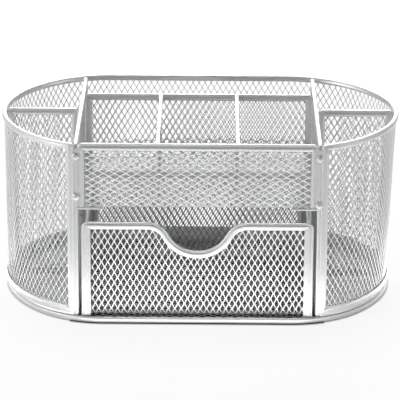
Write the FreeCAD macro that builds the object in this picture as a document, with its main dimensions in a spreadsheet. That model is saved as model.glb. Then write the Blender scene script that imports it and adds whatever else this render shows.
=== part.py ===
import FreeCAD, Part
import os
import re

# Pen stand with drawer, a desk organizer of silver painted expanded metal.
# The origin is the middle of the footprint on the desk, +Z is up and -Y is the front, where the
# drawer opens. An oval wall stands on a mesh floor and leaves a gap in front for the drawer.
# Two side dividers, a middle panel, two end dividers and a raised tray split the inside in eight.
# Each mesh panel is a thin sheet whose edges sit in folded strips. A strip is a channel cut to
# the sheet's own edges, so sheet and strip meet face to face.

SIZES = {
    # Plan and height of the whole stand
    "overall_width": 220,
    "overall_depth": 140,
    "overall_height": 104,
    "end_flattening": 12,
    "shoulder_rise": 20,
    # Sheet and folded strips
    "sheet_thickness": 0.8,
    "strip_thickness": 2.2,
    "strip_width": 4,
    "fold_depth": 0.6,
    "weld_gap": 0.05,
    # Base rail, floor and outer wall
    "rail_width": 4.7,
    "rail_height": 3,
    "floor_seat": 1.5,
    "wall_setback": 0.5,
    "hem_height": 5.5,
    "rim_height": 3.4,
    "post_width": 4.2,
    # Places of the panels inside
    "divider_middle": 67.1,
    "middle_panel_place": 29.5,
    "tray_count": 3,
    "shelf_height": 66.5,
    "front_setback": 0.374,
    # Weld nubs on the front corners, below the top and above the shelf
    "nub_reach": 2,
    "nub_thickness": 0.9,
    "upper_nub_drop": 8,
    "left_nub_rise": 5.5,
    "right_nub_rise": 2.5,
    # Drawer and its clearances in the stand
    "drawer_side_gap": 1.5,
    "drawer_rear_gap": 1.4,
    "drawer_head_gap": 8.3,
    "drawer_lift": 0.3,
    "drawer_body_inset": 2,
    "scoop_reach": 27.5,
    "scoop_depth": 16.8,
    "scoop_shoulder": 13,
    # Gaps of the expanded metal, and what a cut runs past its face
    "gap_short": 7.2,
    "gap_long": 12.4,
    "floor_gap_short": 10,
    "floor_gap_long": 17.2,
    "strand_width": 1.3,
    "end_gap_short": 14.4,
    "end_gap_long": 22,
    "end_strand_width": 2.6,
    "overrun": 1,
    "tolerance": 0.001,
}

# Sizes that follow from the ones above. Each end of the oval reaches a little less far than a half
# circle would, and the side dividers' outer faces meet the oval at their front and rear reach.
PAST_STRAIGHT = "max(divider_middle + strip_thickness / 2 - straight_half; 0)"
FOLLOWING = {
    "straight_half": "overall_width / 2 - overall_depth / 2 + end_flattening",
    "shoulder_radius": "overall_depth / 2 - shoulder_rise",
    "divider_front_reach": f"shoulder_rise + sqrt((shoulder_radius - wall_setback)^2 - {PAST_STRAIGHT}^2)",
    "divider_rear_reach": "shoulder_rise + sqrt((shoulder_radius - wall_setback - strip_thickness)^2"
                          f" - {PAST_STRAIGHT}^2)",
}

X_AXIS = FreeCAD.Vector(1, 0, 0)
Y_AXIS = FreeCAD.Vector(0, 1, 0)
Z_AXIS = FreeCAD.Vector(0, 0, 1)

document = FreeCAD.newDocument("pen_stand_with_drawer")
sheet = document.addObject("Spreadsheet::Sheet", "sizes")
cells = SIZES | {alias: f"={formula}" for alias, formula in FOLLOWING.items()}
for row, (alias, content) in enumerate(cells.items(), start=1):
    sheet.set(f"A{row}", alias.replace("_", " "))
    sheet.set(f"B{row}", str(content))
    sheet.setAlias(f"B{row}", alias)
document.recompute()

nodes = []


def size(alias):
    """The number that the sheet holds under an alias."""
    return float(sheet.get(alias))


def bound(formula):
    """A formula of aliases, written the way an expression reads them from the sheet."""
    return re.sub(r"[a-z_]+", lambda word: "sizes." + word.group(), formula)


def keep(label, feature):
    """Make a feature a sub-part of the stand, with its own label."""
    feature.Label = label
    nodes.append(feature)
    return feature


def box(x_span, y_span, z_span):
    """A box between pairs of formulas, bound to the sheet."""
    feature = document.addObject("Part::Box", "box")
    sides = zip(("Length", "Width", "Height"), ("x", "y", "z"), (x_span, y_span, z_span))
    for side, axis, (low, high) in sides:
        feature.setExpression(side, bound(f"({high}) - ({low})"))
        feature.setExpression(f"Placement.Base.{axis}", bound(low))
    return feature


def cut(base, tool):
    """The base without the tool."""
    feature = document.addObject("Part::Cut", "cut")
    feature.Base = base
    feature.Tool = tool
    return feature


def common(base, tool):
    """The stretch of the base inside the tool."""
    feature = document.addObject("Part::Common", "stretch")
    feature.Base = base
    feature.Tool = tool
    return feature


def mirrored(label, source):
    """The left twin of a sub-part on the right."""
    feature = document.addObject("Part::Mirroring", label)
    feature.Source = source
    feature.Normal = X_AXIS
    return keep(label, feature)


def shaped(shape, name="shape"):
    """A feature that holds a shape worked out from the sheet."""
    feature = document.addObject("Part::Feature", name)
    feature.Shape = shape
    feature.Placement = FreeCAD.Placement()
    return feature


# The oval plan, used by the rail, the floor and the wall

def oval_edges(inset, height):
    """The outline of the stand in plan, drawn in by an inset: two straights, four shoulders, two ends.

    It runs counterclockwise from the front straight, so edges 1 to 3 go round the right end.
    """
    straight = size("straight_half")
    shoulder = size("shoulder_radius")
    shoulder_rise = size("shoulder_rise")
    end_reach = size("overall_width") / 2 - straight
    end = (end_reach**2 + shoulder_rise**2 - shoulder**2) / (2 * (end_reach - shoulder))
    end_centre = FreeCAD.Vector(straight + end_reach - end, 0, height)
    shoulder_centre = FreeCAD.Vector(straight, shoulder_rise, height)
    outward = (shoulder_centre - end_centre).normalize()
    between = (outward + Y_AXIS).normalize()
    quarter = [
        shoulder_centre + Y_AXIS * (shoulder - inset),
        shoulder_centre + between * (shoulder - inset),
        shoulder_centre + outward * (shoulder - inset),
    ]
    rear_right = quarter
    front_right = [FreeCAD.Vector(p.x, -p.y, p.z) for p in quarter]
    rear_left = [FreeCAD.Vector(-p.x, p.y, p.z) for p in quarter]
    front_left = [FreeCAD.Vector(-p.x, -p.y, p.z) for p in quarter]
    right_end = end_centre + X_AXIS * (end - inset)
    left_end = FreeCAD.Vector(-right_end.x, right_end.y, right_end.z)
    edges = [
        Part.LineSegment(front_left[0], front_right[0]),
        Part.Arc(*front_right),
        Part.Arc(front_right[2], right_end, rear_right[2]),
        Part.Arc(*reversed(rear_right)),
        Part.LineSegment(rear_right[0], rear_left[0]),
        Part.Arc(*rear_left),
        Part.Arc(rear_left[2], left_end, front_left[2]),
        Part.Arc(*reversed(front_left)),
    ]
    return [edge.toShape() for edge in edges]


def oval_plate(inset, low, high):
    """A solid plate of the oval, between two heights."""
    return Part.Face(Part.Wire(oval_edges(inset, low))).extrude(Z_AXIS * (high - low))


def oval_ring(outer_inset, inner_inset, low, high):
    """A closed upright band of the oval between two insets and two heights."""
    inner = oval_plate(inner_inset, low - size("overrun"), high + size("overrun"))
    return oval_plate(outer_inset, low, high).cut(inner)


# Expanded metal: a sheet with diamond gaps inside a window

def diamond(centre, short_reach, long_reach):
    """The corners of a diamond gap, from its middle to its sides."""
    return [centre + short_reach, centre - long_reach, centre - short_reach, centre + long_reach]


def gap_share(short_step, long_step, strand):
    """How much of its cell a gap takes each way, between strands of a width. The steps are half cells."""
    return 1 - strand * (short_step**2 + long_step**2) ** 0.5 / (2 * short_step * long_step)


def holed_face(outline, gaps):
    """A face inside an outline with a hole for each list of corners, which run against the outline."""
    return Part.Face([outline] + [Part.makePolygon(corners + corners[:1]) for corners in gaps])


def net(label, blank, window, normal, long_way, short_gap="gap_short", long_gap="gap_long"):
    """The blank sheet as one holed face drawn out by its thickness, its gaps whole and in the window."""
    short_way = normal.cross(long_way)
    lowest = min(blank.Shape.Faces, key=lambda face: face.CenterOfMass.dot(normal))
    bounds = window.Shape.BoundBox
    middle = bounds.Center + normal * (lowest.CenterOfMass - bounds.Center).dot(normal)
    room = FreeCAD.Vector(bounds.XLength, bounds.YLength, bounds.ZLength)
    room_across = abs(room.dot(short_way))
    room_along = abs(room.dot(long_way))
    columns = max(int(room_across / size(short_gap)), 1)
    rows = max(int(room_along / size(long_gap)), 1)
    short_step = short_way * (room_across / columns / 2)
    long_step = long_way * (room_along / rows / 2)
    share = gap_share(short_step.Length, long_step.Length, size("strand_width"))
    gaps = []
    for column in range(1 - columns, columns):
        for line in range(1 - rows, rows):
            if (column + columns + line + rows) % 2:
                continue
            centre = middle + short_step * column + long_step * line
            corners = diamond(centre, short_step * share, long_step * share)
            if all(window.Shape.isInside(corner, size("tolerance"), True) for corner in corners):
                gaps.append(corners)
    face = holed_face(lowest.OuterWire, gaps)
    if face.Area > lowest.Area:
        face = holed_face(lowest.OuterWire, [corners[::-1] for corners in gaps])
    print(f"{label}: {len(gaps)} gaps")
    return keep(label, shaped(face.extrude(normal * size("sheet_thickness")), label))


# Framed panels

def across(normal, depth_span, width_span, height_span):
    """A box whose spans follow a panel: through it, along it and up it."""
    if normal == Y_AXIS:
        return box(width_span, depth_span, height_span)
    return box(depth_span, width_span, height_span)


def around(middle, thickness):
    """The span of a thickness about its middle plane."""
    return (f"{middle} - {thickness} / 2", f"{middle} + {thickness} / 2")


class Panel:
    """An upright mesh panel: its sheet, its folded strips, and the window between them.

    The top edge always has a strip. A bare side or foot has none, and the sheet ends flush there.
    """

    def __init__(self, normal, middle, near, far, low, high, bare_sides=False, bare_foot=False):
        self.normal = normal
        through = around(middle, "(strip_thickness + overrun)")
        side_fold = "0" if bare_sides else "fold_depth"
        foot_fold = "0" if bare_foot else "fold_depth"
        side_strip = "(0 - overrun)" if bare_sides else "strip_width"
        foot_strip = "(0 - overrun)" if bare_foot else "strip_width"
        side_margin = "strand_width" if bare_sides else "strip_width"
        foot_margin = "strand_width" if bare_foot else "strip_width"
        self.outer = across(normal, around(middle, "strip_thickness"), (near, far), (low, high))
        self.blank = across(normal, around(middle, "sheet_thickness"),
                            (f"{near} + {side_fold}", f"{far} - {side_fold}"),
                            (f"{low} + {foot_fold}", f"{high} - fold_depth"))
        self.window = across(normal, through,
                             (f"{near} + {side_strip}", f"{far} - {side_strip}"),
                             (f"{low} + {foot_strip}", f"{high} - strip_width"))
        self.mesh_window = across(normal, through,
                                  (f"{near} + {side_margin}", f"{far} - {side_margin}"),
                                  (f"{low} + {foot_margin}", f"{high} - strip_width"))

    def strips(self, label):
        """The folded strips, open where the mesh shows and slotted for the sheet's edges."""
        return keep(label, cut(cut(self.outer, self.window), self.blank))

    def mesh(self, label, long_way=Z_AXIS):
        """The expanded metal of the panel."""
        return net(label, self.blank, self.mesh_window, self.normal, long_way)


# Planes that several pieces share, as formulas of the sheet

FRONT = "(front_setback - divider_front_reach)"
BEHIND_FRONT = f"({FRONT} + strip_thickness)"
MIDDLE_FRONT = "(middle_panel_place - strip_thickness / 2)"
DIVIDER_INNER = "(divider_middle - strip_thickness / 2)"
DIVIDER_OUTER = "(divider_middle + strip_thickness / 2)"
WALL_INNER_END = "(overall_width / 2 - wall_setback - strip_thickness - weld_gap)"
FLOOR = "rail_height"
TOP = "overall_height"
SHELF_TOP = "(shelf_height + sheet_thickness)"
TRAY_DIVIDER_MIDDLE = f"({DIVIDER_INNER} / tray_count)"

# Base rail and floor

floor_level = size("rail_height") - size("sheet_thickness")
floor_inset = size("rail_width") - size("floor_seat")
floor_blank = shaped(oval_plate(floor_inset, floor_level, size("rail_height")))
floor_window = shaped(oval_plate(size("rail_width"), 0, size("rail_height") + size("overrun")))
rail_ring = shaped(oval_ring(0, size("rail_width"), 0, size("rail_height")))
keep("base_rail", cut(rail_ring, floor_blank))
net("base_mesh", floor_blank, floor_window, Z_AXIS, X_AXIS, "floor_gap_short", "floor_gap_long")

# Outer wall: one sheet from post to post round the back, here in a flat back and two curved ends,
# with a rim folded over its top, a hem over its foot and a post over each front edge

strip_outer = size("wall_setback")
strip_inner = strip_outer + size("strip_thickness")
sheet_outer = strip_outer + (size("strip_thickness") - size("sheet_thickness")) / 2
sheet_inner = sheet_outer + size("sheet_thickness")
hem_top = size("rail_height") + size("hem_height")
rim_low = size("overall_height") - size("rim_height")
sheet_low = size("rail_height") + size("fold_depth")
sheet_high = size("overall_height") - size("fold_depth")

WIDE = "(overall_width / 2 + overrun)"
DEEP = "(overall_depth / 2 + overrun)"
POST_OUTER = f"({DIVIDER_OUTER} + post_width)"
SHEET_END = f"({DIVIDER_OUTER} + fold_depth)"
ALL_HEIGHT = ("0 - overrun", f"{TOP} + overrun")
FRONT_HALF = (f"0 - {DEEP}", "0")

wall_sheet = cut(
    shaped(oval_ring(sheet_outer, sheet_inner, sheet_low, sheet_high)),
    box((f"0 - {SHEET_END}", SHEET_END), FRONT_HALF, ALL_HEIGHT),
)


def wall_band(low, high):
    """A folded strip along the whole wall, open in front between the side dividers."""
    ring = shaped(oval_ring(strip_outer, strip_inner, low, high))
    return cut(cut(ring, box((f"0 - {DIVIDER_OUTER}", DIVIDER_OUTER), FRONT_HALF, ALL_HEIGHT)), wall_sheet)


keep("wall_rim", wall_band(rim_low, size("overall_height")))
keep("wall_hem", wall_band(size("rail_height"), hem_top))

post_ring = shaped(oval_ring(strip_outer, strip_inner, hem_top, rim_low))
post_stretch = common(post_ring, box((DIVIDER_OUTER, POST_OUTER), FRONT_HALF, ALL_HEIGHT))
right_post = keep("front_post_right", cut(post_stretch, wall_sheet))
mirrored("front_post_left", right_post)


def end_wall_gaps(low, high, nearest):
    """The diamonds through the right end wall, at equal steps round it, between two heights.

    In front they start past the nearest place across, where the post ends.
    """
    path = Part.Wire(oval_edges(size("wall_setback") + size("strip_thickness") / 2, (low + high) / 2)[1:4])
    columns = max(int(path.Length / size("end_gap_short")), 1)
    rows = max(int((high - low) / size("end_gap_long")), 1)
    short_step = path.Length / columns / 2
    long_step = (high - low) / rows / 2
    share = gap_share(short_step, long_step, size("end_strand_width"))
    stops = path.discretize(Number=2 * columns + 1)
    through = 2 * size("strip_thickness")
    gaps = []
    for column in range(1, 2 * columns):
        forward = (stops[column + 1] - stops[column - 1]).normalize()
        outward = forward.cross(Z_AXIS)
        near_side = stops[column] - forward * short_step * share
        if near_side.y < 0 and near_side.x < nearest:
            continue
        for line in range(1 - rows, rows):
            if (column + line + rows) % 2 == 0:
                continue
            centre = stops[column] + Z_AXIS * line * long_step - outward * through / 2
            corners = diamond(centre, forward * short_step * share, Z_AXIS * long_step * share)
            gaps.append(Part.Face(Part.makePolygon(corners + corners[:1])).extrude(outward * through))
    print(f"end wall: {len(gaps)} gaps")
    return shaped(Part.makeCompound(gaps))


document.recompute()
post_edge = size("divider_middle") + size("strip_thickness") / 2 + size("post_width")
end_sheet = common(wall_sheet, box(("straight_half", WIDE), (f"0 - {DEEP}", DEEP), ALL_HEIGHT))
right_end_wall = keep("end_wall_mesh_right", cut(end_sheet, end_wall_gaps(hem_top, rim_low, post_edge)))
mirrored("end_wall_mesh_left", right_end_wall)

BACK_INSET = "(wall_setback + strip_thickness / 2)"
back_blank = box(
    ("0 - straight_half", "straight_half"),
    around(f"overall_depth / 2 - {BACK_INSET}", "sheet_thickness"),
    (f"{FLOOR} + fold_depth", f"{TOP} - fold_depth"),
)
back_window = box(
    ("0 - straight_half", "straight_half"),
    around(f"overall_depth / 2 - {BACK_INSET}", "(strip_thickness + overrun)"),
    (f"{FLOOR} + hem_height", f"{TOP} - rim_height"),
)
document.recompute()
net("back_wall_mesh", back_blank, back_window, Y_AXIS, Z_AXIS)

# Dividers, panels and tray

side_divider = Panel(X_AXIS, "divider_middle", "(0 - divider_front_reach)",
                     "(divider_rear_reach - weld_gap)", FLOOR, TOP)
middle_panel = Panel(Y_AXIS, "middle_panel_place", f"(0 - {DIVIDER_INNER})", DIVIDER_INNER, FLOOR, TOP)
front_panel = Panel(Y_AXIS, f"({FRONT} + strip_thickness / 2)", f"(0 - {DIVIDER_INNER})", DIVIDER_INNER,
                    "shelf_height", TOP, bare_foot=True)
tray_divider = Panel(X_AXIS, TRAY_DIVIDER_MIDDLE, BEHIND_FRONT, MIDDLE_FRONT, SHELF_TOP, TOP,
                     bare_sides=True, bare_foot=True)
end_divider = Panel(Y_AXIS, "0", DIVIDER_OUTER, WALL_INNER_END, FLOOR, TOP)

shelf_blank = box((f"0 - {DIVIDER_INNER}", DIVIDER_INNER), (BEHIND_FRONT, MIDDLE_FRONT),
                  ("shelf_height", SHELF_TOP))
shelf_window = box((f"0 - {DIVIDER_INNER} + strand_width", f"{DIVIDER_INNER} - strand_width"),
                   (f"{BEHIND_FRONT} + strand_width", f"{MIDDLE_FRONT} - strand_width"),
                   ("shelf_height - overrun", f"{SHELF_TOP} + overrun"))
document.recompute()

mirrored("side_divider_mesh_left", side_divider.mesh("side_divider_mesh_right"))
mirrored("side_divider_frame_left", side_divider.strips("side_divider_frame_right"))
middle_panel.mesh("middle_panel_mesh")
middle_panel.strips("middle_panel_frame")
front_panel.mesh("front_panel_mesh", long_way=X_AXIS)
front_panel.strips("front_panel_frame")
net("tray_shelf_mesh", shelf_blank, shelf_window, Z_AXIS, X_AXIS)
mirrored("tray_divider_mesh_left", tray_divider.mesh("tray_divider_mesh_right"))
mirrored("tray_divider_rim_left", tray_divider.strips("tray_divider_rim_right"))
mirrored("end_divider_mesh_left", end_divider.mesh("end_divider_mesh_right"))
mirrored("end_divider_frame_left", end_divider.strips("end_divider_frame_right"))


# Weld nubs, where strips of panel, divider and wall are joined at the front corners

def weld_nub(place, height):
    """A small lozenge of weld on the front edge of a side divider."""
    nub = document.addObject("Part::Prism", "nub")
    nub.Polygon = 4
    nub.setExpression("Circumradius", bound("nub_reach"))
    nub.setExpression("Height", bound("nub_thickness"))
    nub.Placement.Rotation = FreeCAD.Rotation(X_AXIS, 90)
    nub.setExpression("Placement.Base.x", bound(place))
    nub.setExpression("Placement.Base.y", bound("0 - divider_front_reach"))
    nub.setExpression("Placement.Base.z", bound(height))
    return nub


nubs = document.addObject("Part::Compound", "nubs")
nubs.Links = [
    weld_nub("divider_middle", f"{TOP} - upper_nub_drop"),
    weld_nub("divider_middle", "shelf_height + right_nub_rise"),
    weld_nub("0 - divider_middle", f"{TOP} - upper_nub_drop"),
    weld_nub("0 - divider_middle", "shelf_height + left_nub_rise"),
]
keep("corner_weld_nubs", nubs)

# Drawer: an open mesh box behind a framed front with a finger scoop

DRAWER_LOW = "(rail_height + drawer_lift)"
DRAWER_HALF = f"({DIVIDER_INNER} - drawer_side_gap)"
BODY_HALF = f"({DRAWER_HALF} - drawer_body_inset)"
DRAWER_REAR = f"({MIDDLE_FRONT} - drawer_rear_gap)"
DRAWER_TOP = "(shelf_height - drawer_head_gap)"
BACK_FRONT = f"({DRAWER_REAR} - strip_thickness)"
DRAWER_FLOOR_TOP = f"({DRAWER_LOW} + sheet_thickness)"

drawer_front = Panel(Y_AXIS, f"({FRONT} + strip_thickness / 2)", f"(0 - {DRAWER_HALF})", DRAWER_HALF,
                     DRAWER_LOW, DRAWER_TOP, bare_foot=True)
drawer_back = Panel(Y_AXIS, f"({DRAWER_REAR} - strip_thickness / 2)", f"(0 - {BODY_HALF})", BODY_HALF,
                    DRAWER_LOW, DRAWER_TOP, bare_foot=True)
drawer_side = Panel(X_AXIS, f"({BODY_HALF} - strip_thickness / 2)", BEHIND_FRONT, BACK_FRONT,
                    DRAWER_FLOOR_TOP, DRAWER_TOP, bare_sides=True, bare_foot=True)
drawer_floor_blank = box((f"0 - {BODY_HALF}", BODY_HALF), (BEHIND_FRONT, BACK_FRONT),
                         (DRAWER_LOW, DRAWER_FLOOR_TOP))
drawer_floor_window = box((f"0 - {BODY_HALF} + strip_thickness", f"{BODY_HALF} - strip_thickness"),
                          (f"{BEHIND_FRONT} + strand_width", f"{BACK_FRONT} - strand_width"),
                          (f"{DRAWER_LOW} - overrun", f"{DRAWER_FLOOR_TOP} + overrun"))


def scoop(drop):
    """The finger scoop as a solid through the drawer front, its edge a drop below the opening's own.

    Two shoulders roll out of the straight top edge and meet one round bowl, each arc tangent to the next.
    """
    reach = size("scoop_reach")
    depth = size("scoop_depth")
    top = size("shelf_height") - size("drawer_head_gap")
    both_radii = (reach**2 + depth**2) / (2 * depth)
    shoulder = size("scoop_shoulder")
    bowl = both_radii - shoulder
    front = -size("divider_front_reach") - size("overrun")
    through = size("front_setback") + size("strip_thickness") + 2 * size("overrun")
    shoulder_centre = FreeCAD.Vector(reach, front, top - shoulder)
    bowl_centre = FreeCAD.Vector(0, front, top - depth + bowl)
    toward_bowl = (bowl_centre - shoulder_centre).normalize()
    halfway = (toward_bowl + Z_AXIS).normalize()
    bend = shoulder_centre + toward_bowl * (shoulder - drop)
    crest = shoulder_centre + Z_AXIS * (shoulder - drop)
    flank = shoulder_centre + halfway * (shoulder - drop)
    bottom = bowl_centre - Z_AXIS * (bowl + drop)
    above = Z_AXIS * (top + size("overrun") - crest.z)
    left = [FreeCAD.Vector(-p.x, p.y, p.z) for p in (crest, flank, bend)]
    edges = [
        Part.LineSegment(left[0] + above, left[0]),
        Part.Arc(*left),
        Part.Arc(left[2], bottom, bend),
        Part.Arc(bend, flank, crest),
        Part.LineSegment(crest, crest + above),
        Part.LineSegment(crest + above, left[0] + above),
    ]
    outline = Part.Wire([edge.toShape() for edge in edges])
    return shaped(Part.Face(outline).extrude(Y_AXIS * through))


document.recompute()
opening = scoop(0)
sheet_scoop = scoop(size("fold_depth"))
band_scoop = scoop(size("strip_width"))
drawer_front.blank = cut(drawer_front.blank, sheet_scoop)
drawer_front.outer = cut(drawer_front.outer, opening)
drawer_front.window = cut(drawer_front.window, band_scoop)
drawer_front.mesh_window = cut(drawer_front.mesh_window, band_scoop)
document.recompute()

drawer_front.mesh("drawer_front_mesh")
drawer_front.strips("drawer_front_frame")
net("drawer_floor_mesh", drawer_floor_blank, drawer_floor_window, Z_AXIS, X_AXIS)
mirrored("drawer_side_mesh_left", drawer_side.mesh("drawer_side_mesh_right"))
mirrored("drawer_side_rim_left", drawer_side.strips("drawer_side_rim_right"))
drawer_back.mesh("drawer_back_mesh")
drawer_back.strips("drawer_back_frame")
document.recompute()

# Check every object, then write each sub-part

for feature in document.Objects:
    if "Invalid" in feature.State or "Error" in feature.State:
        raise RuntimeError(f"{feature.Name} ({feature.Label}) failed: {feature.State}")
for feature in nodes:
    if feature.Shape.isNull() or not feature.Shape.isValid() or not feature.Shape.Solids:
        raise RuntimeError(f"{feature.Label} has no valid solid")

os.makedirs("parts", exist_ok=True)
for feature in nodes:
    bounds = feature.Shape.BoundBox
    print(f"{feature.Label}: {len(feature.Shape.Solids)} solid, {feature.Shape.Volume:.1f} cubic mm, "
          f"x {bounds.XMin:.2f} to {bounds.XMax:.2f}, y {bounds.YMin:.2f} to {bounds.YMax:.2f}, "
          f"z {bounds.ZMin:.2f} to {bounds.ZMax:.2f}")
    feature.Shape.exportStep(f"parts/{feature.Label}.step")
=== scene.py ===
import math

import bmesh
import bpy
from mathutils import Matrix, Vector, noise


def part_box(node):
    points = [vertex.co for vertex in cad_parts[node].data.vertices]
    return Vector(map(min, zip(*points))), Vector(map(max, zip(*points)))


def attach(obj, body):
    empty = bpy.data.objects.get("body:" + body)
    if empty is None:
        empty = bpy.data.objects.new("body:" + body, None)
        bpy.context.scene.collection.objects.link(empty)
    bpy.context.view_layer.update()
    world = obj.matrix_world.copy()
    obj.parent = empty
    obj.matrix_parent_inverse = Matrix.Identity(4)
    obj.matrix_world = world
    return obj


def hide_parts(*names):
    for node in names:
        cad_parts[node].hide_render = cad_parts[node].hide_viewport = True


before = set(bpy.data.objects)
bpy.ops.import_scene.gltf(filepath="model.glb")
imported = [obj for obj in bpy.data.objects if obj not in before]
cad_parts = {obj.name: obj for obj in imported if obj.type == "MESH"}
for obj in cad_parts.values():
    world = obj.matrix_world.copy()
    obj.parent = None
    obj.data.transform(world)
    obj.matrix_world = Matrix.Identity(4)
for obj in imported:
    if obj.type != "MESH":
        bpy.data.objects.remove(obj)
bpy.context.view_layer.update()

# Pen stand with drawer. Lengths are in millimetres and become metres where a mesh is made. Every
# sheet is real expanded metal, cut strand by strand, and every strip is a folded channel with
# rounded corners, swept along the edge that it binds.

MM = 0.001
STAND, DRAWER = "organizer", "drawer"
SIDES = ((-1, "left"), (1, "right"))


def edges_of(node):
    """The lowest and highest corners of a node, in millimetres."""
    low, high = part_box(node)
    return low / MM, high / MM


# Plan of the stand: straight front and back, a shoulder arc at each corner and a flatter arc round
# each end, which meets the shoulders without a corner

rail_low, rail_high = edges_of("base_rail")
HALF_WIDTH = rail_high.x
HALF_DEPTH = rail_high.y
RAIL_HEIGHT = rail_high.z
STRAIGHT_HALF = 52.0
SHOULDER_RADIUS = 50.0
SHOULDER_Y = HALF_DEPTH - SHOULDER_RADIUS
PAST_STRAIGHT = HALF_WIDTH - STRAIGHT_HALF
END_RADIUS = (
    (PAST_STRAIGHT**2 + SHOULDER_Y**2 - SHOULDER_RADIUS**2) / (2 * (PAST_STRAIGHT - SHOULDER_RADIUS))
)
END_X = HALF_WIDTH - END_RADIUS
MEETING_ANGLE = math.atan2(SHOULDER_Y, STRAIGHT_HALF - END_X)


class Track:
    """Straight runs and arcs in a plane. at() gives the place and the left-hand normal at a length
    along it."""

    def __init__(self):
        self.parts = []
        self.length = 0.0

    def line(self, start, end):
        start, end = Vector(start), Vector(end)
        self.parts.append((self.length, "line", start, (end - start).normalized()))
        self.length += (end - start).length
        return self

    def arc(self, centre, radius, first, last):
        turn = math.copysign(1, last - first)
        self.parts.append((self.length, "arc", Vector(centre), (radius, first, turn)))
        self.length += radius * abs(last - first)
        return self

    def at(self, length):
        part = self.parts[0]
        for candidate in self.parts:
            if candidate[0] <= length:
                part = candidate
        begin, kind, anchor, data = part
        if kind == "line":
            return anchor + data * (length - begin), Vector((-data.y, data.x))
        radius, first, turn = data
        angle = first + turn * (length - begin) / radius
        radial = Vector((math.cos(angle), math.sin(angle)))
        return anchor + radial * radius, radial * -turn


def oval(inset):
    """The plan outline drawn in by an inset, from the middle of the front round the left end."""
    quarter, half = math.pi / 2, math.pi
    depth, shoulder, end = HALF_DEPTH - inset, SHOULDER_RADIUS - inset, END_RADIUS - inset
    track = Track()
    track.line((0, -depth), (-STRAIGHT_HALF, -depth))
    track.arc((-STRAIGHT_HALF, -SHOULDER_Y), shoulder, 3 * quarter, half + MEETING_ANGLE)
    track.arc((-END_X, 0), end, half + MEETING_ANGLE, half - MEETING_ANGLE)
    track.arc((-STRAIGHT_HALF, SHOULDER_Y), shoulder, half - MEETING_ANGLE, quarter)
    track.line((-STRAIGHT_HALF, depth), (STRAIGHT_HALF, depth))
    track.arc((STRAIGHT_HALF, SHOULDER_Y), shoulder, quarter, MEETING_ANGLE)
    track.arc((END_X, 0), end, MEETING_ANGLE, -MEETING_ANGLE)
    track.arc((STRAIGHT_HALF, -SHOULDER_Y), shoulder, -MEETING_ANGLE, -quarter)
    track.line((STRAIGHT_HALF, -depth), (0, -depth))
    return track


def oval_depth(x, y):
    """How far a place in plan lies inside the outline."""
    x, y = abs(x), abs(y)
    if x > END_X and math.atan2(y, x - END_X) < MEETING_ANGLE:
        return END_RADIUS - math.hypot(x - END_X, y)
    if x > STRAIGHT_HALF:
        return SHOULDER_RADIUS - math.hypot(x - STRAIGHT_HALF, y - SHOULDER_Y)
    return HALF_DEPTH - y


# Finishes

CLOUD_SCALE, FLAKE_SCALE = 38.0, 1500.0
FLAKE_RELIEF, FLAKE_DEPTH = 0.5, 0.00006


def node_at(tree, kind, **inputs):
    """A shader node with its inputs set: a number or colour stays on the socket, a socket is linked."""
    made = tree.nodes.new(kind)
    for name, value in inputs.items():
        socket = made.inputs[name.replace("_", " ")]
        if isinstance(value, bpy.types.NodeSocket):
            tree.links.new(value, socket)
        else:
            socket.default_value = value
    return made


def arithmetic(tree, operation, *values):
    """The output of one step of arithmetic on numbers and sockets."""
    made = tree.nodes.new("ShaderNodeMath")
    made.operation = operation
    for socket, value in zip(made.inputs, values):
        if isinstance(value, bpy.types.NodeSocket):
            tree.links.new(value, socket)
        else:
            socket.default_value = value
    return made.outputs["Value"]


def mapped(tree, value, low, high):
    """A noise value spread over the range from low to high."""
    made = node_at(tree, "ShaderNodeMapRange", Value=value, From_Min=0.3, From_Max=0.7,
                   To_Min=low, To_Max=high)
    return made.outputs["Result"]


def painted_metal(name, dark, light, metallic, smooth, rough):
    """Silver lacquer over steel: cloudy in tone and gloss, with the fine grain of its flakes."""
    material = bpy.data.materials.new(name)
    material.use_nodes = True
    tree = material.node_tree
    shader = tree.nodes["Principled BSDF"]
    shader.inputs["Metallic"].default_value = metallic
    place = node_at(tree, "ShaderNodeTexCoord").outputs["Object"]
    cloud = node_at(tree, "ShaderNodeTexNoise", Vector=place, Scale=CLOUD_SCALE, Detail=3.0)
    flake = node_at(tree, "ShaderNodeTexNoise", Vector=place, Scale=FLAKE_SCALE, Detail=2.0)
    grain = mapped(tree, flake.outputs["Fac"], 0.0, 0.5)
    tone = arithmetic(tree, "MULTIPLY_ADD", cloud.outputs["Fac"], 0.5, grain)
    ramp = node_at(tree, "ShaderNodeValToRGB", Fac=tone)
    for element, position, colour in zip(ramp.color_ramp.elements, (0.25, 0.75), (dark, light)):
        element.position = position
        element.color = (*colour, 1)
    tree.links.new(ramp.outputs["Color"], shader.inputs["Base Color"])
    gloss = mapped(tree, cloud.outputs["Fac"], smooth, rough)
    tree.links.new(gloss, shader.inputs["Roughness"])
    relief = node_at(tree, "ShaderNodeBump", Height=flake.outputs["Fac"],
                     Strength=FLAKE_RELIEF, Distance=FLAKE_DEPTH)
    tree.links.new(relief.outputs["Normal"], shader.inputs["Normal"])
    return material


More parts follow.
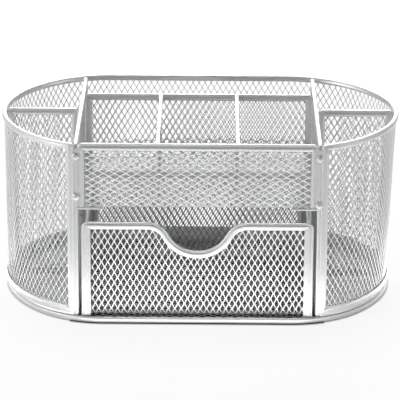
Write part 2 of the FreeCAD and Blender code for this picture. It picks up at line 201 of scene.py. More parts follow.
# One silver lacquer in copies of different tone, which are painted light and painted shade. The mesh
# copy is a little darker than the strips' copy, as painted shade on the nets inside. The inner mesh copy
# is much darker, as painted shade inside the drawer. The wall and front mesh copies are lighter, as
# painted light on the outer wall and the front sheets.
# Dark and light tone, metallic share, and least and greatest roughness of each copy
LIT_AND_SHADED_LACQUERS = {
    "strip": ((0.62, 0.625, 0.63), (0.72, 0.725, 0.73), 0.5, 0.32, 0.44),
    "mesh": ((0.55, 0.555, 0.56), (0.66, 0.665, 0.67), 0.5, 0.34, 0.46),
    "painted_light_wall_mesh": ((0.68, 0.685, 0.69), (0.79, 0.795, 0.8), 0.42, 0.34, 0.46),
    "painted_shade_inner_mesh": ((0.34, 0.344, 0.35), (0.44, 0.444, 0.45), 0.6, 0.34, 0.46),
    "painted_light_front_mesh": ((0.8, 0.805, 0.81), (0.88, 0.885, 0.89), 0.35, 0.36, 0.48),
}
FINISH = {name: painted_metal(f"{name}_lacquer", *values) for name, values in LIT_AND_SHADED_LACQUERS.items()}
MERGE = 0.002
SHARP_ANGLE = math.radians(50)


def add_piece(name, points, faces, finish, body, replaced=()):
    """A mesh piece from points in millimetres, smooth shaded. Strips and plates keep their creases."""
    mesh = bpy.data.meshes.new(name)
    mesh.from_pydata([tuple(c * MM for c in point) for point in points], [], faces)
    work = bmesh.new()
    work.from_mesh(mesh)
    bmesh.ops.remove_doubles(work, verts=work.verts, dist=MERGE * MM)
    bmesh.ops.recalc_face_normals(work, faces=work.faces)
    work.to_mesh(mesh)
    work.free()
    mesh.shade_smooth()
    if finish == "strip":
        mesh.set_sharp_from_angle(angle=SHARP_ANGLE)
    mesh.materials.append(FINISH[finish])
    piece = bpy.data.objects.new(name, mesh)
    bpy.context.scene.collection.objects.link(piece)
    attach(piece, body)
    if replaced:
        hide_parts(*replaced)
    return piece


# Places of flat and curved sheets: a function from (u, v, n) on the sheet to a point

def facing_y(y):
    """A sheet across the stand: u is x, v is z, and n is toward the back."""
    return lambda u, v, n: (u, y + n, v)


def facing_x(x):
    """A sheet from front to back: u is y, v is z, and n is to the right."""
    return lambda u, v, n: (x + n, u, v)


def along_track(track, upright=True):
    """A sheet bent along a track: upright over a plan, or running across the stand over a section."""
    def place(u, v, n):
        if upright:
            spot, normal = track.at(u)
            return (spot.x + normal.x * n, spot.y + normal.y * n, v)
        spot, normal = track.at(v)
        return (u, spot.x + normal.x * n, spot.y + normal.y * n)
    return place


def wave(u, v, seed, swing):
    """The slight waviness of thin metal."""
    return swing * noise.noise(Vector((u * 0.045, v * 0.045, seed)))


# Expanded metal

SHORT_WAY, LONG_WAY = 3.55, 6.1
GAUGE = 0.28
NET_WAVE, STRIP_WAVE = 0.12, 0.05


# Painted shade: the nets take the mesh copy of the lacquer by default, a little darker than the strips'
# copy.
def net(name, u_span, v_span, inside, place, body, replaced=(), tall=True, strand=0.5, tilt=0.28,
        shift=(0, 0), seed=0.0, finish="mesh"):
    """A sheet of expanded metal. inside(u, v) says which bonds and strands, by their middles, are there.

    Bonds sit at half steps of the two pitches, and four strands leave each one. Bonds and strands
    are tilted the same way, as slit and stretched metal is, so the sheet is louvred. p runs along
    the short way of the openings and q along the long way.
    """
    spans = (u_span, v_span) if tall else (v_span, u_span)
    (p_low, p_high), (q_low, q_high) = spans
    p_middle, q_middle = (p_low + p_high) / 2 + shift[0], (q_low + q_high) / 2 + shift[1]
    p_half, q_half = SHORT_WAY / 2, LONG_WAY / 2
    columns = int((p_high - p_low) / 2 / p_half) + 3
    rows = int((q_high - q_low) / 2 / q_half) + 3
    points, faces, index = [], [], {}
    bond_half = strand * 0.8
    bond_corners = (
        (-strand, -bond_half, tilt), (0, -bond_half, 0), (strand, -bond_half, -tilt),
        (strand, bond_half, -tilt), (0, bond_half, 0), (-strand, bond_half, tilt),
    )

    def spot(i, j, across=0.0, along=0.0):
        p, q = p_middle + i * p_half + across, q_middle + j * q_half + along
        return (p, q) if tall else (q, p)

    def there(i, j):
        u, v = spot(i, j)
        return u_span[0] <= u <= u_span[1] and v_span[0] <= v <= v_span[1] and inside(u, v)

    def vertex(bond, corner, side):
        key = (bond, corner, side)
        if key not in index:
            across, along, rise = bond_corners[corner]
            u, v = spot(*bond, across, along)
            index[key] = len(points)
            points.append(place(u, v, rise + side * GAUGE / 2 + wave(u, v, seed, NET_WAVE)))
        return index[key]

    def slab(ring):
        faces.append([vertex(*corner, 1) for corner in ring])
        faces.append([vertex(*corner, -1) for corner in reversed(ring)])

    def side_wall(first, second):
        faces.append([vertex(*first, -1), vertex(*second, -1), vertex(*second, 1), vertex(*first, 1)])

    grid = [(i, j) for i in range(-columns, columns + 1) for j in range(-rows, rows + 1)
            if (i + j) % 2]
    bonds = {bond for bond in grid if there(*bond)}
    strands = set()
    for i, j in grid:
        for step in (-1, 1):
            if there(i + step / 2, j + 0.5) and ((i, j) in bonds or (i + step, j + 1) in bonds):
                strands.add(((i, j), step))
    for (i, j), step in strands:
        low, high = (i, j), (i + step, j + 1)
        near = (5, 4) if step < 0 else (4, 3)
        far = (2, 1) if step < 0 else (1, 0)
        ring = [(low, near[0]), (low, near[1]), (high, far[0]), (high, far[1])]
        slab(ring)
        side_wall(ring[1], ring[2])
        side_wall(ring[3], ring[0])
        if low not in bonds:
            side_wall(ring[0], ring[1])
        if high not in bonds:
            side_wall(ring[2], ring[3])
    for bond in bonds:
        i, j = bond
        ring = [(bond, corner) for corner in range(6)]
        slab(ring)
        side_wall(ring[2], ring[3])
        side_wall(ring[5], ring[0])
        meetings = (
            (0, 1, ((i - 1, j - 1), 1)), (1, 2, ((i + 1, j - 1), -1)),
            (3, 4, (bond, 1)), (4, 5, (bond, -1)),
        )
        for first, second, met in meetings:
            if met not in strands:
                side_wall(ring[first], ring[second])
    return add_piece(name, points, faces, finish, body, replaced)


# Folded strips

STRIP = 2.2
STRIP_WIDTH = 4.0
FOLD_RISE = 0.6
GROOVE_HALF = 0.22
CREASE_DEPTH = 2.6
CORNER_ROOM = 4.8
ARC_PITCH = 1.6


def channel(thickness, width, belly=0.7):
    """Section of a strip folded over a sheet's edge, as (across, depth) pairs round it: the rounded
    bead of the fold, a groove under it, legs that swell to a belly at a share of the width, lips
    that turn in, and the slot for the sheet."""
    half = thickness / 2
    slot = min(0.42, half * 0.5)
    fold = [(half * math.sin(math.radians(t)), FOLD_RISE * (1 - math.cos(math.radians(t))))
            for t in range(-90, 91, 15)]
    shares = (
        (0.92, 0.19), (0.6, 0.235), (0.58, 0.26), (0.79, belly / 2 + 0.12), (0.98, belly - 0.04),
        (1.0, belly), (0.97, belly + 0.05), (0.76, 0.97), (0.68, 1.0),
    )
    leg = [(half * across, width * depth) for across, depth in shares]
    leg += [(slot + 0.1, width * 0.98), (slot, width * 0.92), (slot, width * 0.3)]
    return fold + leg + [(-across, depth) for across, depth in reversed(leg)]


class Edge:
    """The edge that a strip binds, as stations. Each station says where a depth from the edge lies
    on the sheet, and how much thinner the strip is there."""

    def __init__(self, pitch=4.0):
        self.pitch = pitch
        self.stations = []

    def straight(self, start, end, outward, scale=1.0):
        start, end, outward = Vector(start), Vector(end), Vector(outward)
        steps = max(int((end - start).length / self.pitch), 1)
        for step in range(steps + 1):
            at = start.lerp(end, step / steps)
            self.stations.append((lambda depth, at=at: at - outward * depth * scale, 1.0))
        return self

    def corner(self, point, first, second, radius, scale=(1.0, 1.0)):
        """From an edge facing first to one facing second. The rounding fades with depth into a
        mitre, which shows as a fine groove."""
        point, first, second = Vector(point), Vector(first), Vector(second)
        stretch = Vector(scale)
        for turn in range(0, 91, 15):
            angle = math.radians(turn)
            toward = first * math.cos(angle) + second * math.sin(angle)
            in_groove = turn == 45
            shift = Vector((0, 0)) if in_groove else (second if turn < 45 else first) * -GROOVE_HALF

            def spot(depth, toward=toward, shift=shift):
                rounding = radius * max(1 - depth / CREASE_DEPTH, 0)
                offset = toward * rounding - (first + second) * (depth + rounding)
                return point + offset * stretch + shift

            self.stations.append((spot, 0.9 if in_groove else 1.0))
        return self

    def arc(self, centre, radius, first, last, convex):
        centre = Vector(centre)
        inward = -1 if convex else 1
        steps = max(int(abs(last - first) * radius / ARC_PITCH), 2)
        for step in range(steps + 1):
            angle = first + (last - first) * step / steps
            radial = Vector((math.cos(angle), math.sin(angle)))
            self.stations.append((lambda depth, radial=radial:
                                  centre + radial * (radius + inward * depth), 1.0))
        return self

    def depth(self, u, v):
        """How far a place lies inside the edge, by the nearest station."""
        place = Vector((u, v))
        spot = min((spot for spot, thin in self.stations),
                   key=lambda spot: (spot(0) - place).length_squared)
        return (place - spot(0)).dot((spot(1) - spot(0)).normalized())


def rectangle(u_low, u_high, v_low, v_high, radius, foot=True, pitch=4.0, widths=(1.0, 1.0, 1.0),
              room=CORNER_ROOM):
    """The edge of a rectangular sheet, from its foot up the low side, over the top and down the
    other, and back along the foot if that is bound too. widths are those of side, top and foot
    strips, and room is what the straight runs leave to the corners."""
    foot_radius = 1.2
    side, top, base = widths
    left, right, up, down = (-1, 0), (1, 0), (0, 1), (0, -1)
    edge = Edge(pitch)
    low = v_low + room if foot else v_low
    edge.straight((u_low, low), (u_low, v_high - room), left, side)
    edge.corner((u_low, v_high), left, up, radius, (side, top))
    edge.straight((u_low + room, v_high), (u_high - room, v_high), up, top)
    edge.corner((u_high, v_high), up, right, radius, (side, top))
    edge.straight((u_high, v_high - room), (u_high, low), right, side)
    if foot:
        edge.corner((u_high, v_low), right, down, foot_radius, (side, base))
        edge.straight((u_high - room, v_low), (u_low + room, v_low), down, base)
        edge.corner((u_low, v_low), down, left, foot_radius, (side, base))
    return edge


def strip(name, edge, place, body, replaced=(), closed=False, section=None, seed=0.0):
    """A folded strip along an edge, of the usual channel or another section."""
    section = section or channel(STRIP, STRIP_WIDTH)
    points, faces = [], []
    for spot, thin in edge.stations:
        for across, depth in section:
            u, v = spot(depth)
            points.append(place(u, v, across * thin + wave(u, v, seed, STRIP_WAVE)))
    count, rings = len(section), len(edge.stations)
    for ring in range(rings if closed else rings - 1):
        after = (ring + 1) % rings
        for k in range(count):
            faces.append((ring * count + k, ring * count + (k + 1) % count,
                          after * count + (k + 1) % count, after * count + k))
    if not closed:
        faces.append(tuple(range(count)))
        faces.append(tuple((rings - 1) * count + k for k in reversed(range(count))))
    return add_piece(name, points, faces, "strip", body, replaced)


# Bonds and strands start about halfway under the strips. A sheet's edge without a strip runs a
# little way into the sheet that it meets.

UNDER = 2.0
TUCK = 0.6


def covered(u_low, u_high, v_low, v_high, sides=UNDER, head=UNDER, foot=UNDER):
    """An inside test for a rectangle, with how far each edge's metal stays back."""
    return lambda u, v: (u_low + sides < u < u_high - sides) and (v_low + foot < v < v_high - head)


# Base rail and floor. The rail's section is in (height from its middle, inset) pairs: a band with
# rolled edges, a groove behind it, and the ledge that holds the floor.

FLOOR_DROP, FLOOR_MARGIN = 0.4, 3.4
RAIL_STEPS = 300
RAIL_SECTION = (
    (-1.5, 0.55), (-1.42, 0.26), (-1.2, 0.08), (-0.9, 0.0), (0.9, 0.0), (1.2, 0.07), (1.42, 0.26),
    (1.5, 0.55), (1.5, 2.3), (1.42, 2.6), (1.15, 2.75), (-0.3, 2.85), (-0.45, 3.0), (-0.3, 3.2),
    (0.5, 3.3), (0.62, 3.45), (0.62, 4.55), (0.5, 4.7), (-1.3, 4.7), (-1.5, 4.5),
)
outer_oval = oval(0)
rail_edge = Edge()
for step in range(RAIL_STEPS):
    around = outer_oval.length * step / RAIL_STEPS
    rail_edge.stations.append((lambda depth, around=around: Vector((around, depth)), 1.0))


def on_rail(around, inset, n):
    spot, outward = outer_oval.at(around)
    return (spot.x - outward.x * inset, spot.y - outward.y * inset, max(RAIL_HEIGHT / 2 + n, 0))


strip("base_rail_fold", rail_edge, on_rail, STAND, ("base_rail",), closed=True,
      section=RAIL_SECTION, seed=1.0)
net("floor_net", (-HALF_WIDTH, HALF_WIDTH), (-HALF_DEPTH, HALF_DEPTH),
    lambda u, v: oval_depth(u, v) > FLOOR_MARGIN, lambda u, v, n: (u, v, RAIL_HEIGHT - FLOOR_DROP + n),
    STAND, ("base_mesh",), tall=False, seed=2.0)

# Outer wall. At the front corners the strips of wall and front panel close in on the divider's
# edge. The two ends lean out by so much at the foot and at the rim.

WALL_INSET = 0.5 + STRIP / 2
CLOSING = 0.45
EDGE_RECESS = 0.4
END_LEAN = {-1: (1.4, 2.2), 1: (0.4, 4.3)}
rim_low, rim_high = edges_of("wall_rim")
hem_low, hem_high = edges_of("wall_hem")
post_low, post_high = edges_of("front_post_right")
HEAD = rim_high.z


def leaning(place):
    """The same sheet, with the ends of the stand leaning out."""
    def leant(u, v, n):
        x, y, z = place(u, v, n)
        foot, head = END_LEAN[1 if x > 0 else -1]
        share = max(abs(x) - post_high.x, 0) / (HALF_WIDTH - post_high.x)
        return x + math.copysign(share * (foot + (head - foot) * z / HEAD), x), y, z
    return leant


wall_track = oval(WALL_INSET)
wall_place = leaning(along_track(wall_track))
wall_shoulder = SHOULDER_RADIUS - WALL_INSET
front_turn = math.asin((post_low.x - CLOSING - STRAIGHT_HALF) / wall_shoulder)
front_start = STRAIGHT_HALF + wall_shoulder * front_turn
box = (front_start, wall_track.length - front_start, hem_low.z, HEAD)
post_width, rim_width, hem_width = post_high.x - post_low.x, HEAD - rim_low.z, hem_high.z - hem_low.z
strip("wall_strip",
      rectangle(*box, radius=3.0, pitch=2.0, room=6.2,
                widths=(post_width / STRIP_WIDTH, rim_width / STRIP_WIDTH, hem_width / STRIP_WIDTH)),
      wall_place, STAND, ("wall_rim", "wall_hem", "front_post_left", "front_post_right"),
      closed=True, seed=3.0)
# Painted light: the outer wall's net takes a lighter copy of the lacquer.
net("wall_net", box[:2], box[2:], covered(*box, sides=2.1, head=1.8, foot=2.8), wall_place, STAND,
    ("back_wall_mesh", "end_wall_mesh_left", "end_wall_mesh_right"), strand=0.46, tilt=0.06,
    seed=3.0, finish="painted_light_wall_mesh")

# Where the rim strip's two ends lap at the back, one end lies on the other's inner face as a thin
# plate with rounded ends. Its front face is a little smaller than its rear one.

LAP_LEFT, LAP_RIGHT = -24.5, 15.7
LAP_THICK, LAP_HEIGHT, LAP_LEAST = 0.3, 2.35, 0.05
LAP_BEVEL = 0.12
LAP_STEPS = 40
lap_foot = rim_low.z + 0.35
lap_y = rim_high.y - STRIP + 0.1
lap_front, lap_rear, faces = [], [], []
for step in range(LAP_STEPS + 1):
    share = step / LAP_STEPS
    fullness = min(1.0, (4 * share * (1 - share)) ** 0.35)
    x = LAP_LEFT + (LAP_RIGHT - LAP_LEFT) * share
    lap_head = lap_foot + LAP_HEIGHT * fullness + LAP_LEAST
    for depth, bevel, side in ((0.0, 0.0, lap_rear), (LAP_THICK, LAP_BEVEL, lap_front)):
        side.append((x, lap_y - depth, lap_foot + bevel))
        side.append((x, lap_y - depth, lap_head - bevel))
count = 2 * (LAP_STEPS + 1)
for step in range(LAP_STEPS):
    a, b, c, d = 2 * step, 2 * step + 1, 2 * step + 3, 2 * step + 2
    faces += [(a, b, c, d), (count + d, count + c, count + b, count + a),
              (b, count + b, count + c, c), (d, count + d, count + a, a)]
faces += [(1, 0, count, count + 1), (count - 2, count - 1, 2 * count - 1, 2 * count - 2)]
add_piece("rim_lap", lap_rear + lap_front, faces, "strip", STAND)

# Side dividers and end dividers, each with its left and right twin

side_low, side_high = edges_of("side_divider_frame_right")
end_low, end_high = edges_of("end_divider_frame_right")
divider_x = (side_low.x + side_high.x) / 2
for sign, word in SIDES:
    box = (side_low.y + EDGE_RECESS, side_high.y, side_low.z, side_high.z)
    strip(f"side_divider_strip_{word}", rectangle(*box, radius=3.0), facing_x(sign * divider_x),
          STAND, (f"side_divider_frame_{word}",), closed=True, seed=4.0 + sign)
    net(f"side_divider_net_{word}", box[:2], box[2:], covered(*box), facing_x(sign * divider_x),
        STAND, (f"side_divider_mesh_{word}",), seed=4.0 + sign)
    box = (*sorted((sign * end_low.x, sign * end_high.x)), end_low.z, end_high.z)
    strip(f"end_divider_strip_{word}", rectangle(*box, radius=2.4), leaning(facing_y(0)),
          STAND, (f"end_divider_frame_{word}",), closed=True, seed=6.0 + sign)
    net(f"end_divider_net_{word}", box[:2], box[2:], covered(*box), leaning(facing_y(0)),
        STAND, (f"end_divider_mesh_{word}",), seed=6.0 + sign)

# Middle panel

panel_low, panel_high = edges_of("middle_panel_frame")
panel_y = (panel_low.y + panel_high.y) / 2
box = (panel_low.x, panel_high.x, panel_low.z, panel_high.z)
strip("middle_panel_strip", rectangle(*box, radius=2.6), facing_y(panel_y), STAND,
      ("middle_panel_frame",), closed=True, seed=8.0)
net("middle_panel_net", box[:2], box[2:], covered(*box), facing_y(panel_y), STAND,
    ("middle_panel_mesh",), strand=0.46, shift=(1.1, 0), seed=8.0)

# Front panel and tray shelf: one sheet folded back at the panel's foot, and up again in front of
# the middle panel, as a flange that sags toward both ends. u is x and v runs along the fold.

FOLD = 1.0
FLANGE_TOP, FLANGE_SAG, FLANGE_LEAN = 78.6, 1.75, 0.014
FLANGE_GAP = 0.3
front_low, front_high = edges_of("front_panel_frame")
shelf_low, shelf_high = edges_of("tray_shelf_mesh")
front_y = (front_low.y + front_high.y) / 2
shelf_z = (shelf_low.z + shelf_high.z) / 2
flange_y = panel_low.y - FLANGE_GAP
folded = Track()
folded.line((front_y, HEAD), (front_y, shelf_z + FOLD))
fold_at = folded.length
folded.arc((front_y + FOLD, shelf_z + FOLD), FOLD, math.pi, 1.5 * math.pi)
folded.line((front_y + FOLD, shelf_z), (flange_y - FOLD, shelf_z))
folded.arc((flange_y - FOLD, shelf_z + FOLD), FOLD, 1.5 * math.pi, 2 * math.pi)
flange_at = folded.length
folded.line((flange_y, shelf_z + FOLD), (flange_y, FLANGE_TOP))
last_row = folded.length / 2 + int(folded.length / SHORT_WAY) * SHORT_WAY / 2
folded_flat = along_track(folded, upright=False)
box = (front_low.x - CLOSING, front_high.x + CLOSING, front_low.z, HEAD)
strip("front_panel_strip", rectangle(*box, radius=3.2, foot=False), facing_y(front_y), STAND,
      ("front_panel_frame",), seed=9.0)


def on_panel(u, v):
    return UNDER <= v < fold_at and abs(u) < front_high.x - UNDER


def on_shelf(u, v):
    margin = -TUCK if v < flange_at else 1.0
    return fold_at <= v <= last_row + 0.3 and abs(u) < front_high.x - margin


def front_sheet_place(u, v, n):
    x, y, z = folded_flat(u, v, n)
    share = max(v - flange_at, 0) / (folded.length - flange_at)
    return x, y, z + share * (FLANGE_LEAN * u - FLANGE_SAG * (u / front_high.x) ** 2)


sheet_spans = (front_low.x - TUCK, front_high.x + TUCK), (0, folded.length)
# Painted light: the front panel's net takes a much lighter copy of the lacquer.
net("front_panel_net", *sheet_spans, on_panel, front_sheet_place, STAND, ("front_panel_mesh",),
    tall=False, strand=0.62, tilt=-0.2, seed=9.0, finish="painted_light_front_mesh")
net("tray_shelf_net", *sheet_spans, on_shelf, front_sheet_place, STAND, ("tray_shelf_mesh",),
    tall=False, strand=0.5, tilt=0.12, seed=9.0)

# Solid edges of the sheet at the foot of the front panel, tacked to the front corners

TAB_LENGTH, TAB_WIDTH, TAB_THICK = 14.0, 1.2, 0.8
tab_z, tab_y = front_low.z + 0.7, front_low.y + 0.2
for sign, word in SIDES:
    ends = sorted((sign * (front_high.x + CLOSING), sign * (front_high.x - TAB_LENGTH)))
    tab_edge = Edge().straight((ends[0], tab_z), (ends[1], tab_z), (0, 1))
    strip(f"panel_foot_{word}", tab_edge, facing_y(tab_y), STAND,
          section=channel(TAB_THICK, TAB_WIDTH), seed=9.5)

# Tray dividers

tray_low, tray_high = edges_of("tray_divider_rim_right")
mesh_low, mesh_high = edges_of("tray_divider_mesh_right")
tray_x = (tray_low.x + tray_high.x) / 2
box = (mesh_low.y, mesh_high.y, mesh_low.z, HEAD)
for sign, word in SIDES:
    top_edge = Edge().straight((tray_low.y, HEAD), (tray_high.y, HEAD), (0, 1))
    strip(f"tray_divider_strip_{word}", top_edge, facing_x(sign * tray_x), STAND,
          (f"tray_divider_rim_{word}",), seed=10.0 + sign)
    net(f"tray_divider_net_{word}", (box[0] - TUCK, box[1] + TUCK), (box[2] - TUCK, box[3]),
        covered(*box, sides=-TUCK, foot=-TUCK), facing_x(sign * tray_x), STAND,
        (f"tray_divider_mesh_{word}",), seed=10.0 + sign)

# Weld nubs on the front corners: low lozenges with soft facets, each built of rings of (size, rise)

NUB_REACH, NUB_RISE, NUB_POWER = 2.2, 0.75, 1.35
NUB_SPOKES = 24
NUB_RINGS = ((1.0, -0.4), (1.0, 0.05), (0.86, 0.35), (0.6, 0.66), (0.3, 0.9))
nub_low, nub_high = edges_of("corner_weld_nubs")
points, faces = [], []
for x, z in ((-divider_x, 96.5), (divider_x, 96.0), (-divider_x, 73.2), (divider_x, 69.0)):
    start = len(points)
    for size, rise in NUB_RINGS:
        for spoke in range(NUB_SPOKES):
            angle = 2 * math.pi * spoke / NUB_SPOKES
            c, s = math.cos(angle), math.sin(angle)
            reach = NUB_REACH * size / (abs(c) ** NUB_POWER + abs(s) ** NUB_POWER) ** (1 / NUB_POWER)
            points.append((x + reach * c, nub_high.y - NUB_RISE * rise, z + reach * s))
    last = start + (len(NUB_RINGS) - 1) * NUB_SPOKES
    for ring in range(start, last, NUB_SPOKES):
        for spoke in range(NUB_SPOKES):
            a, b = ring + spoke, ring + (spoke + 1) % NUB_SPOKES
            faces.append((a, b, b + NUB_SPOKES, a + NUB_SPOKES))
    faces.append(tuple(start + spoke for spoke in reversed(range(NUB_SPOKES))))
    faces.append(tuple(last + spoke for spoke in range(NUB_SPOKES)))
add_piece("weld_nubs", points, faces, "strip", STAND, ("corner_weld_nubs",))

# Drawer front strip, with the finger scoop: a bowl between two rounded shoulders. slope is the
# angle at which bowl and shoulders meet.

SCOOP_REACH, SCOOP_DEPTH, SCOOP_SHOULDER = 27.5, 16.8, 13.0
SCOOP_JOIN = 0.5
SIDE_WIDER = 1.3
drawer_low, drawer_high = edges_of("drawer_front_frame")
drawer_y = (drawer_low.y + drawer_high.y) / 2
drawer_head = drawer_high.z
bowl = (SCOOP_REACH**2 + SCOOP_DEPTH**2) / (2 * SCOOP_DEPTH) - SCOOP_SHOULDER
bowl_z = drawer_head - SCOOP_DEPTH + bowl
shoulder_z = drawer_head - SCOOP_SHOULDER
slope = math.atan2(bowl_z - shoulder_z, SCOOP_REACH)
scoop_side = SCOOP_REACH + SCOOP_JOIN
side_top = drawer_head - CORNER_ROOM
left, right, up = (-1, 0), (1, 0), (0, 1)
front_edge = Edge()
front_edge.straight((drawer_low.x, drawer_low.z), (drawer_low.x, side_top), left, SIDE_WIDER)
front_edge.corner((drawer_low.x, drawer_head), left, up, 3.0, (SIDE_WIDER, 1.0))
front_edge.straight((drawer_low.x + CORNER_ROOM, drawer_head), (-scoop_side, drawer_head), up)
front_edge.arc((-SCOOP_REACH, shoulder_z), SCOOP_SHOULDER, math.pi / 2, slope, True)
front_edge.arc((0, bowl_z), bowl, math.pi + slope, 2 * math.pi - slope, False)
front_edge.arc((SCOOP_REACH, shoulder_z), SCOOP_SHOULDER, math.pi - slope, math.pi / 2, True)
front_edge.straight((scoop_side, drawer_head), (drawer_high.x - CORNER_ROOM, drawer_head), up)
front_edge.corner((drawer_high.x, drawer_head), up, right, 3.0, (SIDE_WIDER, 1.0))
front_edge.straight((drawer_high.x, side_top), (drawer_high.x, drawer_low.z), right, SIDE_WIDER)
strip("drawer_front_strip", front_edge, facing_y(drawer_y), DRAWER, ("drawer_front_frame",),
      section=channel(STRIP, STRIP_WIDTH, belly=0.45), seed=12.0)

# Drawer sheet: front, floor and back in one, folded up at both feet

floor_low, floor_high = edges_of("drawer_floor_mesh")
back_low, back_high = edges_of("drawer_back_frame")
back_y = (back_low.y + back_high.y) / 2
floor_z = (floor_low.z + floor_high.z) / 2
tub = Track()
tub.line((drawer_y, drawer_head), (drawer_y, floor_z + FOLD))
front_fold = tub.length
tub.arc((drawer_y + FOLD, floor_z + FOLD), FOLD, math.pi, 1.5 * math.pi)
tub.line((drawer_y + FOLD, floor_z), (back_y - FOLD, floor_z))
back_fold = tub.length
tub.arc((back_y - FOLD, floor_z + FOLD), FOLD, 1.5 * math.pi, 2 * math.pi)
tub.line((back_y, floor_z + FOLD), (back_y, drawer_head))


def on_front(u, v):
    return v < front_fold and front_edge.depth(u, drawer_head - v) > UNDER


def on_tub(u, v):
    if v < back_fold:
        return v >= front_fold and abs(u) < back_high.x - 0.7
    return abs(u) < back_high.x - UNDER and v < tub.length - UNDER


sheet_spans = (drawer_low.x, drawer_high.x), (0, tub.length)
tub_place = along_track(tub, upright=False)
# Painted light: the drawer front's net takes the same much lighter copy of the lacquer.
net("drawer_front_net", *sheet_spans, on_front, tub_place, DRAWER, ("drawer_front_mesh",),
    strand=0.68, tilt=0.3, seed=12.0, finish="painted_light_front_mesh")
# Painted shade: the drawer's floor and back take a much darker copy of the lacquer.
net("drawer_tub_net", *sheet_spans, on_tub, tub_place, DRAWER,
    ("drawer_floor_mesh", "drawer_back_mesh"), strand=0.6, tilt=0.3, seed=12.0, finish="painted_shade_inner_mesh")
box = (back_low.x, back_high.x, back_low.z, drawer_head)
strip("drawer_back_strip", rectangle(*box, radius=2.0, foot=False), facing_y(back_y), DRAWER,
      ("drawer_back_frame",), seed=13.0)

# Drawer sides

DRAWER_TUCK = 0.4
SIDE_STRIP = 1.3
for sign, word in SIDES:
    side_low, side_high = edges_of(f"drawer_side_rim_{word}")
    mesh_low, mesh_high = edges_of(f"drawer_side_mesh_{word}")
    side_place = facing_x((side_low.x + side_high.x) / 2)
    top_edge = Edge().straight((side_low.y, drawer_head), (side_high.y, drawer_head), up)
    strip(f"drawer_side_strip_{word}", top_edge, side_place, DRAWER, (f"drawer_side_rim_{word}",),
          section=channel(SIDE_STRIP, STRIP_WIDTH), seed=14.0 + sign)
    box = (mesh_low.y, mesh_high.y, mesh_low.z, drawer_head)
    # Painted shade: the drawer sides take the same much darker copy of the lacquer.
    net(f"drawer_side_net_{word}", (box[0] - TUCK, box[1] + TUCK), (box[2] - DRAWER_TUCK, box[3]),
        covered(*box, sides=-TUCK, foot=-DRAWER_TUCK), side_place, DRAWER,
        (f"drawer_side_mesh_{word}",), seed=14.0 + sign, finish="painted_shade_inner_mesh")

# Floor, with painted shadow. Its finish is near black under the drawer, a painted shadow, and darker in
# a narrow band along the rail there, a painted contact shadow, where the stand keeps the light off the
# table. Under the two ends it is paler, a lighter painted shade, and round them the table is evenly
# pale. Each finish has a tone and the share of it that shows as white. The bands follow the rail's
# outline at two reaches.

FLOOR_FINISHES_WITH_PAINTED_SHADOW = {
    "drawer": (0.08, 0.0), "foot": (0.4, 0.4), "ends": (0.65, 0.18), "table": (0.8, 0.85),
}
FLOOR_REACHES = (0.8, 2.2)
FLOOR_RADIUS = 6000.0
FLOOR_STEPS = 300


def floor_finish(name, tone, glow):
    """A matt floor of one tone. A share of it, the glow, shows as white, and the rest as it is lit,
    with the shadow."""
    material = bpy.data.materials.new(f"floor_{name}")
    material.use_nodes = True
    tree = material.node_tree
    tree.nodes.remove(tree.nodes["Principled BSDF"])
    ray = node_at(tree, "ShaderNodeLightPath").outputs
    seen = arithmetic(tree, "MAXIMUM", ray["Is Camera Ray"], ray["Is Glossy Ray"])
    seen = arithmetic(tree, "MAXIMUM", seen, ray["Is Transmission Ray"])
    diffuse = node_at(tree, "ShaderNodeBsdfDiffuse", Color=(tone, tone, tone, 1))
    white = node_at(tree, "ShaderNodeEmission", Color=(1, 1, 1, 1), Strength=1.0)
    mix = node_at(tree, "ShaderNodeMixShader", Fac=arithmetic(tree, "MULTIPLY", seen, glow))
    tree.links.new(diffuse.outputs["BSDF"], mix.inputs[1])
    tree.links.new(white.outputs["Emission"], mix.inputs[2])
    tree.links.new(mix.outputs["Shader"], tree.nodes["Material Output"].inputs["Surface"])
    return material


floor_points = []
for reach in (*FLOOR_REACHES, None):
    for step in range(FLOOR_STEPS):
        spot, outward = outer_oval.at(outer_oval.length * step / FLOOR_STEPS)
        spot = spot.normalized() * FLOOR_RADIUS if reach is None else spot + outward * reach
        floor_points.append((spot.x * MM, spot.y * MM, 0.0))


def in_middle(step):
    """Whether the outline at this step lies in front of or behind the drawer."""
    return abs(floor_points[step % FLOOR_STEPS][0]) <= post_high.x * MM


# Painted shadow: the near-black finish under the drawer, a paler painted shade under each end, and a
# painted contact shadow in the band along the rail in front of and behind the drawer.
floor_faces = [([step for step in range(FLOOR_STEPS) if in_middle(step)], "drawer")]
for sign, word in SIDES:
    end = [step for step in range(FLOOR_STEPS) if floor_points[step][0] * sign > 0
           and not (in_middle(step - 1) and in_middle(step) and in_middle(step + 1))]
    floor_faces.append((end, "ends"))
for band, finish in ((1, "foot"), (2, "table")):
    outer, inner = band * FLOOR_STEPS, (band - 1) * FLOOR_STEPS
    for step in range(FLOOR_STEPS):
        after = (step + 1) % FLOOR_STEPS
        face = (inner + step, outer + step, outer + after, inner + after)
        floor_faces.append((face, finish if in_middle(step) and in_middle(after) else "table"))
floor_mesh = bpy.data.meshes.new("floor")
floor_mesh.from_pydata(floor_points, [], [face for face, finish in floor_faces])
for finish, (tone, glow) in FLOOR_FINISHES_WITH_PAINTED_SHADOW.items():
    floor_mesh.materials.append(floor_finish(finish, tone, glow))
for polygon, (face, finish) in zip(floor_mesh.polygons, floor_faces):
    polygon.material_index = list(FLOOR_FINISHES_WITH_PAINTED_SHADOW).index(finish)
floor = bpy.data.objects.new("floor", floor_mesh)
bpy.context.scene.collection.objects.link(floor)

# Lamps, in metres and watts. The cards lie on the floor round the stand and shine upward, for the
# light that a white table throws back.

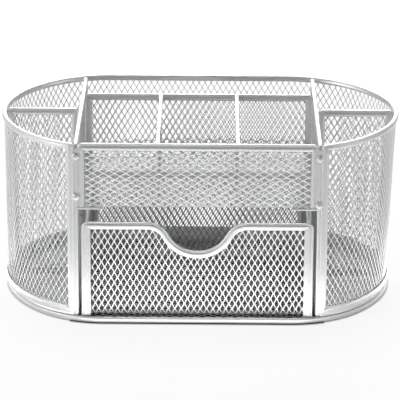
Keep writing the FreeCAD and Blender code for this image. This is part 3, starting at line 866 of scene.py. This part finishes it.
WORLD_STRENGTH = 0.02
CARD_HEIGHT, CARD_DEPTH = 0.0003, 0.045
SOFT_BOXES = (
    ("overhead", (0.0, 0.35, 1.15), (0, 0, 0), (1.2, 0.5), 10.5),
    ("rear_fill", (0.0, 0.9, 0.5), (0, 0, 0.05), (0.8, 0.5), 7.0),
    ("left_fill", (-0.9, -0.3, 0.5), (0, 0, 0.05), (0.8, 0.5), 7.0),
    ("right_fill", (0.9, -0.3, 0.5), (0, 0, 0.05), (0.8, 0.5), 3.2),
)
CARDS = (
    ("front", 0.0, -0.0945, (0.22, CARD_DEPTH), 6.8), ("rear", 0.0, 0.0945, (0.22, CARD_DEPTH), 4.5),
    ("left", -0.134, 0.0, (CARD_DEPTH, 0.14), 6.5), ("right", 0.134, 0.0, (CARD_DEPTH, 0.14), 6.5),
)


def soft_box(name, place, aim, size, power):
    """A rectangular lamp that faces its aim."""
    lamp = bpy.data.lights.new(name, "AREA")
    lamp.shape = "RECTANGLE"
    lamp.size, lamp.size_y = size
    lamp.energy = power
    box = bpy.data.objects.new(name, lamp)
    box.location = place
    box.rotation_euler = (Vector(aim) - Vector(place)).to_track_quat("-Z", "Y").to_euler()
    bpy.context.scene.collection.objects.link(box)
    return box


world = bpy.data.worlds.new("studio")
bpy.context.scene.world = world
world.use_nodes = True
world.node_tree.nodes["Background"].inputs["Color"].default_value = (1, 1, 1, 1)
world.node_tree.nodes["Background"].inputs["Strength"].default_value = WORLD_STRENGTH
for values in SOFT_BOXES:
    soft_box(*values)
for word, x, y, size, strength in CARDS:
    power = strength * size[0] * size[1]
    card = soft_box(f"{word}_card", (x, y, CARD_HEIGHT), (x, y, 1.0), size, power)
    card.visible_camera = False

# Camera, as solved from the photograph

TARGET = Vector((1.12, 0.0, 48.94)) * MM
AZIMUTH, ELEVATION, ROLL = math.radians(0.17), math.radians(19.0), math.radians(0.34)
DISTANCE = 1535.62 * MM
SENSOR, LENS = 36.0, 239.63
back = Vector((math.sin(AZIMUTH) * math.cos(ELEVATION), -math.cos(AZIMUTH) * math.cos(ELEVATION),
               math.sin(ELEVATION)))
level = (-back).cross(Vector((0, 0, 1))).normalized()
rise = level.cross(-back)
camera_right = level * math.cos(ROLL) + rise * math.sin(ROLL)
camera_up = rise * math.cos(ROLL) - level * math.sin(ROLL)
camera_data = bpy.data.cameras.new("camera")
camera_data.sensor_width = SENSOR
camera_data.lens = LENS
camera = bpy.data.objects.new("camera", camera_data)
turn = Matrix((camera_right, camera_up, back)).transposed().to_4x4()
camera.matrix_world = Matrix.Translation(TARGET + back * DISTANCE) @ turn
bpy.context.scene.collection.objects.link(camera)
bpy.context.scene.camera = camera

bpy.context.scene.view_settings.view_transform = "Standard"
